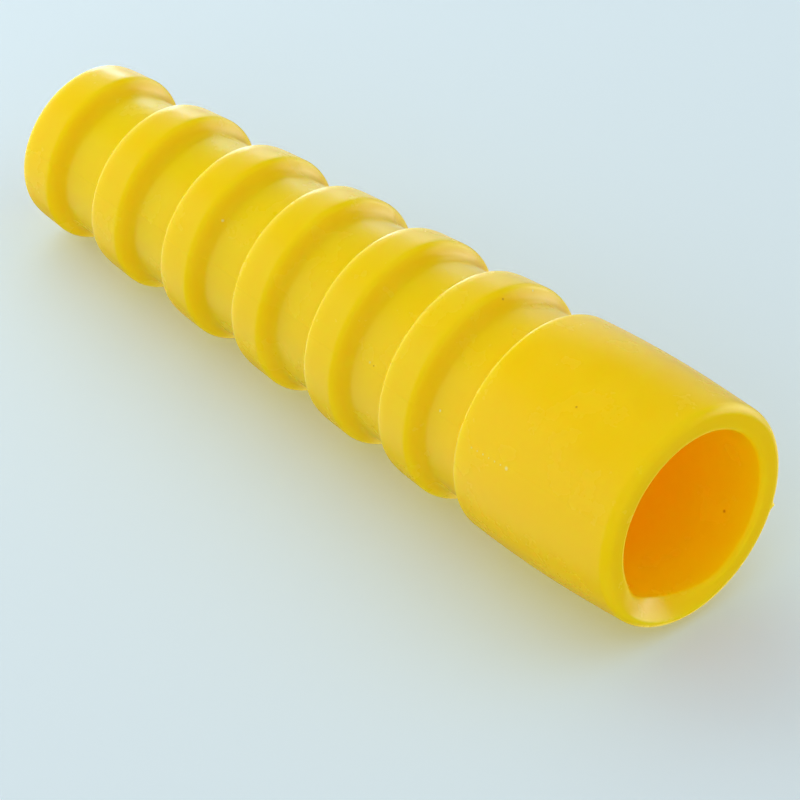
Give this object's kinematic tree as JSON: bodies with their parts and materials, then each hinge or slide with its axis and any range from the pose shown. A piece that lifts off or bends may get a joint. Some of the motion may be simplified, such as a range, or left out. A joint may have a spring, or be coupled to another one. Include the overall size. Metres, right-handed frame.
{
  "type": "coaxial connector boot",
  "caption": "Soft moulded sleeve for the back of a coaxial connector: a round-lipped barrel, then a tapering ribbed stem around the cable.",
  "frame": {"origin": "centre of the mouth's lip, on the surface that the boot stands on", "axes": "+Z along the boot's axis, from the mouth towards the cable end; the mould's parting plane is the YZ plane"},
  "size_m": [0.0118, 0.0118, 0.0432],
  "materials": {
    "soft_pvc": "satin, slightly translucent"
  },
  "bodies": {
    "root": {"boot": "soft_pvc"}
  },
  "joints": []
}
